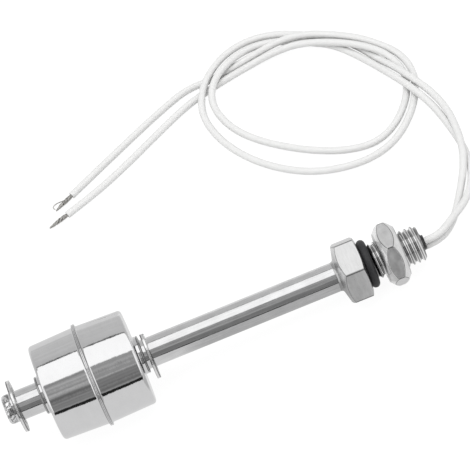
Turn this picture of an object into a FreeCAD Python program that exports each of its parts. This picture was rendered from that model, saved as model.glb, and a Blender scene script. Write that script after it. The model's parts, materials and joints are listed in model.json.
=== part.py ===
import FreeCAD
import Part
import math
import os

# Float level switch, in millimetres.
#
# A ring-shaped float slides on a tube between two retaining clips. A magnet in the float closes a
# reed switch inside the tube, and two wires bring it out through a threaded mounting head.
# Every piece is drawn about the line of the tube: X runs towards the threaded end and is 0 on the
# sealing face of the head. rest_placement() then lays the whole switch down on a floor, z = 0,
# where it lies on the seam of its float, one corner of its head and one corner of its lock nut.

# ---- driving dimensions ------------------------------------------------------------------------
# stem
stem_d = 8.0
stem_bore_d = 5.6
stem_reach = 101.0            # sealing face to the tip
tip_visible_length = 2.0      # full-diameter part of the tip plug
tip_edge_radius = 1.0
tip_spigot_length = 2.0
weld_groove = 0.12            # chamfer at the joint of plug and tube
weld_gap = 0.02               # room between pieces that are welded or glued

# retaining clips (E-clips for an 8 mm shaft)
clip_groove_d = 7.0
clip_groove_width = 1.16
clip_thickness = 0.9
clip_outer_d = 14.3
clip_relief_d = 10.4
clip_mouth_inner = 5.8        # mouth width at the groove
clip_mouth_outer = 9.0        # mouth width at the rim
clip_prong_angle = 33.0       # each prong's share of the circle, degrees
clip_corner_radius = 0.5
lower_clip_x = -97.7
upper_clip_x = -60.6
lower_clip_turn = 217.0       # direction of the mouth, degrees from straight up, towards -Y
upper_clip_turn = -53.0
lower_clip_lean = 1.2         # how far the clips lean in their grooves, degrees
upper_clip_lean = 1.0

# mounting head
hex_flats = 15.8
hex_corner_radius = 0.4
hex_turn = 163.6              # one corner, degrees from straight up, towards -Y
head_length = 7.3             # small end of the cone to the sealing face
head_cone_angle = 14.0        # slope of the face round the stem, from the plane across it
head_cone_fillet = 0.9
head_rim_circle_d = 15.2      # where the rear face ends and its chamfer begins
head_rim_angle = 30.0
head_chamfer_circle_d = 14.0
head_chamfer_angle = 18.0
socket_depth = 6.0            # how far the tube enters the head
thread_d = 9.8
thread_pitch = 1.5
thread_length = 16.2          # sealing face to the end
thread_end_chamfer = 0.9
relief_d = 8.5
relief_length = 2.5

# sealing ring
ring_section_d = 2.35
ring_clearance = 0.02

# lock nut
nut_flats = 15.8
nut_length = 6.0
nut_x = 4.8                   # sealing face to the near face of the nut
nut_turn = 206.9              # one corner, degrees from straight up, towards -Y
nut_corner_radius = 0.3
nut_chamfer_circle_d = 13.3
nut_chamfer_angle = 42.0
nut_bore_clearance = 0.05     # on the radius, round the thread
nut_bore_chamfer = 0.8

# float
float_x = -76.5               # seam of the float
float_length = 26.0
float_seam_d = 28.4
float_middle_d = 26.9         # beside the seam
float_end_d = 26.1
float_wall = 0.4
float_corner_radius = 0.9
float_seam_fillet = 0.5
sleeve_bore_d = 8.9
sleeve_wall = 0.3
collar_d = 10.3
collar_length = 0.95
lip_thickness = 0.55
lip_gap = 0.05
float_sag_clearance = 0.1     # left between the tube and the sleeve, under the tube

# magnet in the float
magnet_d = 19.0
magnet_length = 8.0
magnet_clearance = 0.1
spacer_wall = 1.2

# reed switch in the tube
reed_x = -80.0
reed_offset = -1.4            # below the line of the tube
glass_d = 2.2
glass_length = 14.0
glass_wall = 0.25
glass_seal_length = 2.0
blade_d = 0.6
blade_width = 1.1
blade_thickness = 0.25
blade_overlap = 1.2
blade_gap = 0.15
blade_tail = 4.0
tube_film = 0.05              # clear gap between the glass and its sleeve
reed_sleeve_wall = 0.2
joint_length = 2.0
joint_d = 1.5

# wires
wire_d = 2.0
wire_spread = 2.1             # between the two wires where they leave
mouth_side = -0.55            # middle of the two wires where they leave, off the line of the tube
mouth_drop = 0.45
lead_height = 1.05            # wire b above the line of the tube, beside the reed
inner_bend_x = 3.0            # where the wires begin to draw together in the resin
inner_bend_length = 7.0
potting_length = 12.0
potting_dome = 0.9
potting_dome_d = 5.36
strand_length = 6.2
strand_neck_d = 1.1
strand_belly_d = 1.5
strand_tip_d = 0.5

# routes of the free wires on the floor, from the potting to the stripped ends
wire_a_route = [
    (67.9, 4.1, 6.0), (73.5, 9.8, 3.4), (77.2, 16.4, 1.4), (78.9, 22.5, 1.0),
    (79.1, 29.3, 1.0), (78.2, 37.2, 1.0), (76.7, 45.1, 1.5), (74.4, 50.6, 3.2),
    (71.5, 57.1, 3.4), (67.9, 65.1, 2.2), (64.1, 73.1, 1.0), (58.9, 81.0, 1.0),
    (52.1, 86.2, 1.0), (45.0, 90.9, 1.0), (38.4, 92.3, 1.6), (31.7, 90.2, 3.0),
    (25.6, 86.4, 3.4), (22.2, 81.7, 2.6), (21.6, 76.4, 1.1), (23.9, 68.6, 1.0),
    (28.5, 61.5, 1.0), (35.2, 54.6, 1.0), (42.9, 48.4, 1.0), (51.0, 43.9, 1.0),
    (58.5, 42.4, 1.0), (64.7, 45.1, 1.0), (69.5, 50.2, 1.0), (72.4, 55.6, 1.0),
    (73.5, 61.9, 1.0), (71.8, 67.9, 1.6), (68.8, 71.4, 3.2), (64.0, 76.3, 3.3),
    (57.1, 81.3, 3.3), (49.7, 85.0, 3.2), (41.8, 86.6, 2.1), (35.0, 86.8, 1.0),
    (28.7, 86.0, 1.0), (22.0, 84.8, 1.0), (14.5, 82.9, 1.0), (4.4, 78.1, 1.0),
    (-6.4, 72.7, 1.0), (-17.3, 67.9, 1.0), (-27.2, 64.9, 1.0),
]
wire_b_route = [
    (67.7, 4.4, 3.8), (71.0, 10.8, 2.0), (74.1, 16.7, 1.4), (76.7, 21.2, 2.3),
    (78.7, 26.4, 3.4), (79.6, 33.9, 3.0), (79.5, 42.9, 2.1), (77.3, 50.4, 3.0),
    (73.9, 57.4, 3.6), (71.6, 62.8, 2.9), (68.4, 69.4, 1.0), (65.2, 76.3, 1.0),
    (59.8, 83.4, 1.0), (53.0, 88.6, 1.0), (45.4, 93.7, 1.0), (37.2, 95.1, 1.8),
    (29.3, 92.5, 3.0), (22.9, 87.2, 3.4), (19.4, 82.0, 2.8), (17.7, 76.2, 1.2),
    (19.4, 67.3, 1.0), (23.4, 58.5, 1.0), (29.6, 50.2, 1.0), (37.9, 43.1, 1.0),
    (47.0, 39.2, 1.0), (56.0, 38.1, 1.0), (63.8, 40.5, 1.0), (70.2, 46.6, 1.0),
    (74.0, 53.1, 1.0), (75.9, 60.4, 1.0), (74.5, 68.0, 1.1), (70.3, 73.1, 2.6),
    (65.3, 78.3, 3.2), (59.0, 83.1, 3.3), (53.7, 86.5, 3.3), (47.8, 88.5, 3.2),
    (41.8, 89.0, 2.5), (35.6, 89.2, 1.2), (30.0, 88.6, 1.0), (23.7, 87.8, 1.0),
    (16.4, 88.6, 1.0), (6.2, 84.7, 1.0), (-4.0, 80.1, 1.0), (-14.3, 75.3, 1.0),
    (-24.2, 70.6, 1.0),
]
wire_exit_run = 4.2           # straight out of the potting
bend_share = 0.45             # share of the shorter run that an arc takes

# ---- places that follow from the sizes ---------------------------------------------------------
stem_r = stem_d / 2
bore_r = stem_bore_d / 2
tip_x = -stem_reach
tube_start = tip_x + tip_visible_length
tube_end = -head_length + socket_depth
hex_across = hex_flats / math.cos(math.radians(30))
nut_across = nut_flats / math.cos(math.radians(30))
ring_inner_r = relief_d / 2 + ring_clearance
ring_x = ring_section_d / 2 + ring_clearance
sleeve_bore_r = sleeve_bore_d / 2
sleeve_r = sleeve_bore_r + sleeve_wall
float_half = float_length / 2
float_lift = sleeve_bore_r - stem_r - float_sag_clearance
nut_bore_r = thread_d / 2 + nut_bore_clearance
mouth_x = thread_length + potting_dome

AXIS = FreeCAD.Vector(1, 0, 0)
ORIGIN = FreeCAD.Vector(0, 0, 0)
UP = FreeCAD.Vector(0, 0, 1)


# ---- helpers -----------------------------------------------------------------------------------
def vec(x, y, z):
    return FreeCAD.Vector(x, y, z)


def rod(x0, x1, radius, y=0.0, z=0.0):
    """A round bar along the stem from x0 to x1."""
    return Part.makeCylinder(radius, x1 - x0, vec(x0, y, z), AXIS)


def tube(x0, x1, outer_r, inner_r, y=0.0, z=0.0):
    return rod(x0, x1, outer_r, y, z).cut(rod(x0 - 1, x1 + 1, inner_r, y, z))


def revolve(outline, z=0.0):
    """A turned piece: outline is a list of (x, radius) corners, or arcs as ((x, r), (x, r))."""
    edges = []
    first = vec(outline[0][0], 0, outline[0][1])
    here = first
    for step in outline[1:]:
        if isinstance(step[0], tuple):
            middle = vec(step[0][0], 0, step[0][1])
            end = vec(step[1][0], 0, step[1][1])
            edges.append(Part.Arc(here, middle, end).toShape())
        else:
            end = vec(step[0], 0, step[1])
            edges.append(Part.LineSegment(here, end).toShape())
        here = end
    edges.append(Part.LineSegment(here, first).toShape())
    solid = Part.Face(Part.Wire(edges)).revolve(ORIGIN, AXIS, 360)
    solid.translate(vec(0, 0, z))
    return solid


def quarter(centre_x, centre_r, radius, angle):
    """The point of a corner arc at an angle from +X."""
    bend = math.radians(angle)
    return (centre_x + radius * math.cos(bend), centre_r + radius * math.sin(bend))


def corner(centre_x, centre_r, radius, start, end):
    """A corner arc for revolve(): its middle and its end point."""
    return (quarter(centre_x, centre_r, radius, (start + end) / 2), quarter(centre_x, centre_r, radius, end))


def hexagon(x0, x1, flats, corner_radius, turn):
    """A hexagonal bar with rounded corners, one of them turned from +Z towards -Y."""
    across_r = flats / 2 / math.cos(math.radians(30))
    corners = []
    for index in range(7):
        angle = math.radians(turn + 60 * index)
        corners.append(vec(x0, -across_r * math.sin(angle), across_r * math.cos(angle)))
    bar = Part.Face(Part.makePolygon(corners)).extrude(AXIS * (x1 - x0))
    long_edges = [edge for edge in bar.Edges if abs(edge.tangentAt(edge.FirstParameter).x) > 0.9]
    return bar.makeFillet(corner_radius, long_edges)


# ---- the stem and its fittings -----------------------------------------------------------------
def stem_tube():
    start = tube_start + weld_gap
    body = revolve([
        (start, bore_r),
        (start, stem_r - weld_groove),
        (start + weld_groove, stem_r),
        (tube_end, stem_r),
        (tube_end, bore_r),
    ])
    for clip_x in (lower_clip_x, upper_clip_x):
        low = clip_x - clip_groove_width / 2
        high = clip_x + clip_groove_width / 2
        body = body.cut(tube(low, high, stem_r + 1, clip_groove_d / 2))
    return body


def tip_plug():
    spigot_r = bore_r - weld_gap
    rim_x = tip_x + tip_edge_radius
    rim_r = stem_r - tip_edge_radius
    return revolve([
        (tip_x, 0),
        (tip_x, rim_r),
        corner(rim_x, rim_r, tip_edge_radius, 180, 90),
        (tube_start - weld_groove, stem_r),
        (tube_start, stem_r - weld_groove),
        (tube_start, spigot_r),
        (tube_start + tip_spigot_length, spigot_r),
        (tube_start + tip_spigot_length, 0),
    ])


def retaining_clip(clip_x, turn, lean):
    """An E-clip: an open ring with three prongs that reach into the groove."""
    x0 = -clip_thickness / 2
    x1 = clip_thickness / 2
    groove_r = clip_groove_d / 2
    rim_r = clip_outer_d / 2
    relief = rod(x0 - 1, x1 + 1, clip_relief_d / 2)
    prong_span = math.radians(clip_prong_angle)
    mouth_edge = math.degrees(math.asin(clip_mouth_inner / 2 / groove_r))
    for middle in (180, mouth_edge + clip_prong_angle / 2, -mouth_edge - clip_prong_angle / 2):
        relief = relief.cut(sector(x0 - 1, x1 + 1, rim_r, middle, prong_span))
    clip = rod(x0, x1, rim_r).cut(relief)
    clip = clip.cut(rod(x0 - 1, x1 + 1, groove_r))
    clip = clip.cut(mouth_cutter(x0 - 1, x1 + 1, groove_r, rim_r))
    tips = [edge for edge in clip.Edges if is_outer_corner(edge, rim_r)]
    clip = clip.makeFillet(clip_corner_radius, tips)
    clip.rotate(ORIGIN, AXIS, turn)
    clip.rotate(ORIGIN, vec(0, -0.6, 0.8), lean)
    clip.translate(vec(clip_x, 0, 0))
    return clip


def is_outer_corner(edge, rim_r):
    middle = edge.CenterOfMass
    along = abs(edge.tangentAt(edge.FirstParameter).x) > 0.9
    return along and math.hypot(middle.y, middle.z) > rim_r - 0.01


def sector(x0, x1, radius, middle, span):
    """A wedge about the stem, its middle at an angle from +Z towards -Y."""
    points = [vec(x0, 0, 0)]
    for share in (-0.5, 0.5):
        angle = math.radians(middle) + share * span
        reach = radius / math.cos(span / 2)
        points.append(vec(x0, -reach * math.sin(angle), reach * math.cos(angle)))
    points.append(points[0])
    return Part.Face(Part.makePolygon(points)).extrude(AXIS * (x1 - x0))


def mouth_cutter(x0, x1, groove_r, rim_r):
    """The clip's mouth, open towards +Z and wider at the rim."""
    inner = clip_mouth_inner / 2
    outer = clip_mouth_outer / 2
    start = math.sqrt(groove_r ** 2 - inner ** 2)
    end = math.sqrt(rim_r ** 2 - outer ** 2)
    beyond = rim_r + 1
    points = [vec(x0, inner, 0), vec(x0, inner, start), vec(x0, outer, end), vec(x0, outer, beyond)]
    points += [vec(x0, -point.y, point.z) for point in reversed(points)]
    points.append(points[0])
    return Part.Face(Part.makePolygon(points)).extrude(AXIS * (x1 - x0))


def mounting_head():
    """Hexagon with a cone to the stem, and the threaded neck, turned from one bar."""
    rim_r = hex_across / 2
    cone_tan = math.tan(math.radians(head_cone_angle))
    chamfer_tan = math.tan(math.radians(head_chamfer_angle))
    flat_r = head_chamfer_circle_d / 2
    step_r = head_rim_circle_d / 2
    step_x = -head_length + (step_r - stem_r) * cone_tan
    blank = revolve([
        (-head_length, 0),
        (-head_length, stem_r),
        (step_x, step_r),
        (step_x + (rim_r + 1 - step_r) * math.tan(math.radians(head_rim_angle)), rim_r + 1),
        (-(rim_r + 1 - flat_r) * chamfer_tan, rim_r + 1),
        (0, flat_r),
        (0, 0),
    ])
    head = blank.common(hexagon(-head_length - 1, 1, hex_flats, hex_corner_radius, hex_turn))
    head = head.fuse(cone_fillet(cone_tan))
    head = head.fuse(threaded_neck())
    head = head.cut(rod(-head_length - 1, tube_end + weld_gap, stem_r + weld_gap))
    return head.cut(rod(tube_end - 1, thread_length + 1, bore_r)).removeSplitter()


def cone_fillet(cone_tan):
    """The small weld fillet between the stem and the cone."""
    reach = head_cone_fillet
    start = (-head_length - reach, stem_r)
    end = (-head_length + reach * cone_tan, stem_r + reach)
    middle = ((start[0] + end[0]) / 2 + reach * 0.18, (start[1] + end[1]) / 2 - reach * 0.22)
    return revolve([start, (middle, end), (end[0], stem_r - weld_gap), (start[0], stem_r - weld_gap)])


def threaded_neck():
    """The thread's outer cylinder with its relief at the sealing face and its end chamfer."""
    thread_r = thread_d / 2
    relief_r = relief_d / 2
    run_out = thread_r - relief_r
    return revolve([
        (-socket_depth / 2, 0),
        (-socket_depth / 2, relief_r),
        (relief_length, relief_r),
        (relief_length + run_out, thread_r),
        (thread_length - thread_end_chamfer, thread_r),
        (thread_length, thread_r - thread_end_chamfer),
        (thread_length, 0),
    ])


def seal_ring():
    section_r = ring_section_d / 2
    return Part.makeTorus(ring_inner_r + section_r, section_r, vec(ring_x, 0, 0), AXIS)


def lock_nut():
    rim_r = nut_across / 2
    flat_r = nut_chamfer_circle_d / 2
    chamfer = (rim_r + 1 - flat_r) * math.tan(math.radians(nut_chamfer_angle))
    end_x = nut_x + nut_length
    blank = revolve([
        (nut_x, nut_bore_r + nut_bore_chamfer),
        (nut_x, flat_r),
        (nut_x + chamfer, rim_r + 1),
        (end_x - chamfer, rim_r + 1),
        (end_x, flat_r),
        (end_x, nut_bore_r + nut_bore_chamfer),
        (end_x - nut_bore_chamfer, nut_bore_r),
        (nut_x + nut_bore_chamfer, nut_bore_r),
    ])
    return blank.common(hexagon(nut_x - 1, end_x + 1, nut_flats, nut_corner_radius, nut_turn))


# ---- the float ---------------------------------------------------------------------------------
def float_shell(side):
    """One drawn half shell: side -1 is the tip half, +1 the head half. Drawn from the seam out."""
    end_x = float_half
    wall = float_wall
    end_r = float_end_d / 2
    middle_r = float_middle_d / 2
    bend = float_corner_radius
    collar_r = collar_d / 2
    hole_r = sleeve_r + weld_gap
    seam_bend = float_seam_fillet
    seam = weld_gap / 2
    inner_middle = middle_r - wall
    inner_end = end_r - wall
    outline = [
        (seam, inner_middle),
        (seam, float_seam_d / 2 - wall / 2),
        corner(seam + wall / 2, float_seam_d / 2 - wall / 2, wall / 2, 180, 0),
        (seam + wall, middle_r + seam_bend),
        corner(seam + wall + seam_bend, middle_r + seam_bend, seam_bend, 180, 270),
        (end_x - bend, end_r),
        corner(end_x - bend, end_r - bend, bend, 90, 0),
        (end_x, collar_r + wall),
        corner(end_x + wall, collar_r + wall, wall, 180, 270),
        (end_x + collar_length, collar_r),
        (end_x + collar_length, hole_r),
        (end_x - wall, hole_r),
        (end_x - wall, inner_end - bend + wall),
        corner(end_x - bend, end_r - bend, bend - wall, 0, 90),
    ]
    shell = revolve(outline)
    if side < 0:
        shell.rotate(ORIGIN, UP, 180)
    shell.translate(vec(float_x, 0, float_lift))
    return shell


def float_sleeve():
    """The inner tube of the float, its two ends rolled out over the collars of the shells."""
    lip_x = float_half + collar_length + lip_gap
    end_x = lip_x + lip_thickness
    lip_r = collar_d / 2
    edge = lip_thickness / 2
    sleeve = revolve([
        (-end_x, sleeve_bore_r),
        (-end_x, lip_r - edge),
        corner(-lip_x - edge, lip_r - edge, edge, 180, 0),
        (-lip_x, sleeve_r),
        (lip_x, sleeve_r),
        (lip_x, lip_r - edge),
        corner(lip_x + edge, lip_r - edge, edge, 180, 0),
        (end_x, sleeve_bore_r),
    ])
    sleeve.translate(vec(float_x, 0, float_lift))
    return sleeve


def ring_magnet():
    ends = magnet_length / 2
    return tube(float_x - ends, float_x + ends, magnet_d / 2, sleeve_r + magnet_clearance, 0, float_lift)


def magnet_spacer(side):
    """A plastic tube that keeps the magnet at the middle of the float."""
    near = magnet_length / 2 + magnet_clearance
    far = float_half - float_wall - weld_gap
    inner_r = sleeve_r + weld_gap
    x0, x1 = (near, far) if side > 0 else (-far, -near)
    return tube(float_x + x0, float_x + x1, inner_r + spacer_wall, inner_r, 0, float_lift)


# ---- the reed switch in the stem ---------------------------------------------------------------
def reed_glass():
    start = reed_x - glass_length / 2
    end = reed_x + glass_length / 2
    body = rod(start, end, glass_d / 2, 0, reed_offset)
    round_ends = [edge for edge in body.Edges if isinstance(edge.Curve, Part.Circle)]
    body = body.makeFillet(glass_d / 2 - blade_d, round_ends)
    hollow = rod(start + glass_seal_length, end - glass_seal_length, glass_d / 2 - glass_wall, 0, reed_offset)
    lead_way = rod(start - 1, end + 1, blade_d / 2 + weld_gap, 0, reed_offset)
    return body.cut(hollow).cut(lead_way)


def reed_blade(side):
    """A round lead that is pressed flat inside the glass. side -1 is the tip's, +1 the head's."""
    half = glass_length / 2
    flat_start = half - glass_seal_length
    tail = rod(flat_start, half + blade_tail, blade_d / 2, 0, 0)
    length = flat_start + blade_overlap / 2
    height = blade_thickness
    lift = side * (blade_gap + height) / 2
    flat = Part.makeBox(length, blade_width, height, vec(-blade_overlap / 2, -blade_width / 2, lift - height / 2))
    blade = tail.fuse(flat)
    if side < 0:
        blade.rotate(ORIGIN, AXIS, 180)
        blade.rotate(ORIGIN, UP, 180)
        blade.rotate(ORIGIN, AXIS, 180)
    blade.translate(vec(reed_x, 0, reed_offset))
    return blade


def reed_sleeve():
    """The shrink tube round the glass, which keeps it off the stem."""
    inner_r = glass_d / 2 + tube_film
    half = glass_length / 2
    return tube(reed_x - half, reed_x + half, inner_r + reed_sleeve_wall, inner_r, 0, reed_offset)


def blade_end(side):
    return reed_x + side * (glass_length / 2 + blade_tail)


def upper_joint():
    """Solder between the reed's head-side lead and its wire."""
    start = blade_end(1)
    return rod(start, start + joint_length, joint_d / 2, 0, reed_offset)


def lower_joint():
    """Solder that ties wire b, which comes back along the reed, to the tip-side lead."""
    end = blade_end(-1)
    start = end - joint_length
    depth = lead_height - reed_offset
    bridge = Part.makeBox(joint_length, joint_d, depth, vec(start, -joint_d / 2, reed_offset))
    low = rod(start, end, joint_d / 2, 0, reed_offset)
    high = rod(start, end, joint_d / 2, 0, lead_height)
    return low.fuse(high).fuse(bridge).removeSplitter()


def mouth_place(level):
    """Where a wire leaves the resin: level +1 is the upper wire, -1 the lower one."""
    return vec(mouth_x, mouth_side, level * wire_spread / 2 - mouth_drop)


def lead_points(start_x, height, level):
    """The line of a wire inside the tube, at a height until the resin, then to its mouth."""
    mouth = mouth_place(level)
    bend_end = inner_bend_x + inner_bend_length
    return [vec(start_x, 0, height), vec(inner_bend_x, 0, height),
            vec(bend_end, mouth.y, mouth.z), mouth]


def lead_solid(points, radius):
    path = cord_path(points)[0]
    section = Part.Face(Part.Wire(Part.makeCircle(radius, points[0], points[1] - points[0])))
    return path.makePipe(section)


def points_of_lead_a():
    """Wire a inside the stem, from the solder on the reed's near end."""
    return lead_points(blade_end(1) + joint_length, reed_offset, -1)


def points_of_lead_b():
    """Wire b inside the stem, past the reed to the solder beyond it."""
    return lead_points(blade_end(-1), lead_height, 1)


def potting():
    """The resin that closes the threaded end, with the two wires through it."""
    plug_r = bore_r - weld_gap
    start = thread_length - potting_length
    fill = revolve([
        (start, 0),
        (start, plug_r),
        (thread_length, plug_r),
        (mouth_x, potting_dome_d / 2),
        (mouth_x, 0),
    ])
    beyond = vec(1, 0, 0)
    for points in (points_of_lead_a(), points_of_lead_b()):
        fill = fill.cut(lead_solid(points[:-1] + [points[-1] + beyond], wire_d / 2 + weld_gap))
    return fill


# ---- the free wires ----------------------------------------------------------------------------
def cord_path(points):
    """Straight runs joined by tangent arcs, and the radii of the arcs."""
    edges = []
    radii = []
    here = points[0]
    for index in range(1, len(points) - 1):
        corner_point = points[index]
        before = corner_point - points[index - 1]
        after = points[index + 1] - corner_point
        reach = bend_share * min(before.Length, after.Length)
        half_turn = before.getAngle(after) / 2
        before.normalize()
        after.normalize()
        radius = reach / math.tan(half_turn)
        start = corner_point - before * reach
        end = corner_point + after * reach
        inwards = (after - before).normalize()
        middle = corner_point + inwards * (radius / math.cos(half_turn) - radius)
        edges.append(Part.LineSegment(here, start).toShape())
        edges.append(Part.Arc(start, middle, end).toShape())
        radii.append(radius)
        here = end
    edges.append(Part.LineSegment(here, points[-1]).toShape())
    return Part.Wire(edges), radii


def free_wire(name, points):
    path, radii = cord_path(points)
    start = points[0]
    section = Part.Face(Part.Wire(Part.makeCircle(wire_d / 2, start, points[1] - start)))
    wire = path.makePipe(section)
    print(name, "length", round(path.Length, 1), "volume share",
          round(wire.Volume / (math.pi * wire_d ** 2 / 4 * path.Length), 4), "valid", wire.isValid())
    print(name, "arc radii", [round(radius, 1) for radius in radii])
    return wire


def strands(points):
    """The stripped and twisted end of a wire, on the floor beyond its last point."""
    start = points[-1]
    direction = (start - points[-2]).normalize()
    profile = [
        (0, 0),
        (0, strand_neck_d / 2),
        ((strand_length * 0.5, strand_belly_d / 2), (strand_length, strand_tip_d / 2)),
        (strand_length, 0),
    ]
    end = revolve(profile)
    end.Placement = FreeCAD.Placement(start, FreeCAD.Rotation(AXIS, direction))
    return end


def wire_points(route, level, placement):
    """The whole route of a free wire: its exit from the resin, then its points on the floor."""
    mouth = mouth_place(level)
    exit_point = placement.multVec(mouth)
    run_end = placement.multVec(mouth + vec(wire_exit_run, 0, 0))
    print("exit", exit_point, "then", run_end)
    return [exit_point, run_end] + [vec(*point) for point in route]


# ---- how the switch lies -----------------------------------------------------------------------
def hex_support(flats, corner_radius, turn, roll):
    """How far a rounded hexagon reaches straight down when the switch is rolled by an angle."""
    core_r = (flats / 2 - corner_radius) / math.cos(math.radians(30))
    offset = (turn + roll) % 60
    away = min(offset, 60 - offset)
    return core_r * math.cos(math.radians(away)) + corner_radius


def contact_places():
    """Where the head and the nut touch the floor: the outer ends of their corner edges."""
    head_edge = -(hex_across - head_chamfer_circle_d) / 2 * math.tan(math.radians(head_chamfer_angle))
    nut_edge = (nut_across - nut_chamfer_circle_d) / 2 * math.tan(math.radians(nut_chamfer_angle))
    return head_edge, nut_x + nut_length - nut_edge


def slope_at(roll):
    """Tangent of the tilt at which the head or the nut holds the threaded end up."""
    head_x, nut_edge_x = contact_places()
    float_height = float_seam_d / 2 - float_lift
    head_reach = hex_support(hex_flats, hex_corner_radius, hex_turn, roll)
    nut_reach = hex_support(nut_flats, nut_corner_radius, nut_turn, roll)
    seam_edge = float_x + float_wall
    return min((float_height - head_reach) / (head_x - seam_edge),
               (float_height - nut_reach) / (nut_edge_x - seam_edge))


def rest_pose():
    """The roll near the drawn one at which the switch lies lowest, and its tilt."""
    steps = [index / 20 for index in range(-300, 301)]
    roll = max(steps, key=slope_at)
    return roll, math.atan(slope_at(roll))


def rest_placement():
    roll, tilt = rest_pose()
    turned = FreeCAD.Rotation(AXIS, roll)
    tilted = FreeCAD.Rotation(vec(0, 1, 0), math.degrees(tilt))
    tip_low = tip_x * math.cos(tilt) - (stem_r - tip_edge_radius) * math.sin(tilt) - tip_edge_radius
    end_high = mouth_x * math.cos(tilt) + potting_dome_d / 2 * math.sin(tilt)
    middle = (tip_x + mouth_x) / 2 * math.cos(tilt)
    seam_edge = float_x + float_wall
    height = float_seam_d / 2 * math.cos(tilt) + seam_edge * math.sin(tilt)
    height -= float_lift * math.cos(tilt)
    print("roll", round(roll, 2), "tilt", round(math.degrees(tilt), 3), "ends", tip_low, end_high)
    placement = FreeCAD.Placement(vec(-middle, 0, height), tilted)
    return placement.multiply(FreeCAD.Placement(ORIGIN, turned))


# ---- build -------------------------------------------------------------------------------------
def rigid_pieces():
    return {
        "stem_tube": stem_tube(),
        "tip_plug": tip_plug(),
        "lower_clip": retaining_clip(lower_clip_x, lower_clip_turn, lower_clip_lean),
        "upper_clip": retaining_clip(upper_clip_x, upper_clip_turn, upper_clip_lean),
        "mounting_head": mounting_head(),
        "seal_ring": seal_ring(),
        "lock_nut": lock_nut(),
        "float_lower_shell": float_shell(-1),
        "float_upper_shell": float_shell(1),
        "float_sleeve": float_sleeve(),
        "ring_magnet": ring_magnet(),
        "magnet_spacer_lower": magnet_spacer(-1),
        "magnet_spacer_upper": magnet_spacer(1),
        "reed_glass": reed_glass(),
        "reed_blade_lower": reed_blade(-1),
        "reed_blade_upper": reed_blade(1),
        "reed_sleeve": reed_sleeve(),
        "solder_joint_lower": lower_joint(),
        "solder_joint_upper": upper_joint(),
        "inner_lead_a": lead_solid(points_of_lead_a(), wire_d / 2),
        "inner_lead_b": lead_solid(points_of_lead_b(), wire_d / 2),
        "potting": potting(),
    }


def main():
    os.makedirs("parts", exist_ok=True)
    placement = rest_placement()
    pieces = rigid_pieces()
    for shape in pieces.values():
        shape.Placement = placement.multiply(shape.Placement)
    routes = {
        "wire_a": wire_points(wire_a_route, 1, placement),
        "wire_b": wire_points(wire_b_route, -1, placement),
    }
    for name, points in routes.items():
        pieces[name] = free_wire(name, points)
        pieces[name + "_strands"] = strands(points)
    for name, shape in pieces.items():
        solid = shape.Solids[0]
        solid.exportStep("parts/" + name + ".step")
        box = solid.optimalBoundingBox()
        print(name, len(shape.Solids), solid.isValid(), "volume", round(solid.Volume, 2), "box",
              [round(value, 2) for value in (box.XMin, box.XMax, box.YMin, box.YMax, box.ZMin, box.ZMax)])


main()
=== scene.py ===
"""Looks of a small steel float level switch: a ring float on a tube, a threaded head and two wires."""

import json
import math
import random

import bmesh
import bpy
from bpy.props import FloatProperty, FloatVectorProperty, IntProperty, PointerProperty
from mathutils import Matrix, Vector


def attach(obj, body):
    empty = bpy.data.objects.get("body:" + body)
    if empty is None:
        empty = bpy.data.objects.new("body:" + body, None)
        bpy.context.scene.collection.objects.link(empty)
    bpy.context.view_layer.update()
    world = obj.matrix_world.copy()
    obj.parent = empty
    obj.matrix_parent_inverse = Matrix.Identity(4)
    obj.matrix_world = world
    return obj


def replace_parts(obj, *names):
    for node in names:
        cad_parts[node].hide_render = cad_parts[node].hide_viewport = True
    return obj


bl_info = {
    "name": "Float level switch",
    "version": (1, 0, 0),
    "blender": (4, 5, 0),
    "location": "3D View > Sidebar > Level switch",
    "description": "Builds the looks of a steel float level switch around its packed model",
    "category": "Object",
}

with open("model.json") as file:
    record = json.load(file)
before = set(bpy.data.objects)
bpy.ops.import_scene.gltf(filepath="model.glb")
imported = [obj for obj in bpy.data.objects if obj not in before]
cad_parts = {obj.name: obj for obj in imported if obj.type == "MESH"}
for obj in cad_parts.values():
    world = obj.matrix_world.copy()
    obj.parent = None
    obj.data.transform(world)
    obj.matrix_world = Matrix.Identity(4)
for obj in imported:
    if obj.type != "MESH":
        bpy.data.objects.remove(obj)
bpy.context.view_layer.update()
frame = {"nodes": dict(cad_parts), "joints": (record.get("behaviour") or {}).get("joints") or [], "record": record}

# ---- the frame of the stem ---------------------------------------------------------------------
# Stem coordinates: the first runs along the tube from the head's sealing face towards the threaded
# end, the second is sideways, and the third points up, square to the tube.
MM = 0.001
joints = {joint["name"]: joint for joint in frame["joints"]}
mount = frame["record"]["mounts"][0]
ALONG = Vector(joints["nut_travel"]["axis"]).normalized()
SIDE = Vector((0, 1, 0))
UPWARD = ALONG.cross(SIDE).normalized()
STEM = Matrix.Translation(mount["pos_m"]) @ Matrix((ALONG, SIDE, UPWARD)).transposed().to_4x4()
TO_STEM = STEM.inverted()


def on_stem(along, side=0.0, up=0.0):
    """A point of the world from stem coordinates in millimetres."""
    return STEM @ (Vector((along, side, up)) * MM)


def reach(node):
    """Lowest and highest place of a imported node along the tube, in millimetres."""
    places = [(TO_STEM @ vert.co).x / MM for vert in frame["nodes"][node].data.vertices]
    return min(places), max(places)


# ---- sizes, in millimetres and degrees ---------------------------------------------------------
SIXTH_TURN = math.radians(60)
TUBE_R = 4.0
SEAM_X = (reach("float_lower_shell")[1] + reach("float_upper_shell")[0]) / 2

NECK_START = 2.4              # the head's piece meets the neck's in the relief, this far along
NECK_END = reach("mounting_head")[1]
NECK_BORE_R = 2.8
RELIEF_R = 4.25
THREAD_R = mount["dims"]["r_mm"]
PROFILE_STEPS = 16            # points along one pitch of the thread

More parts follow.
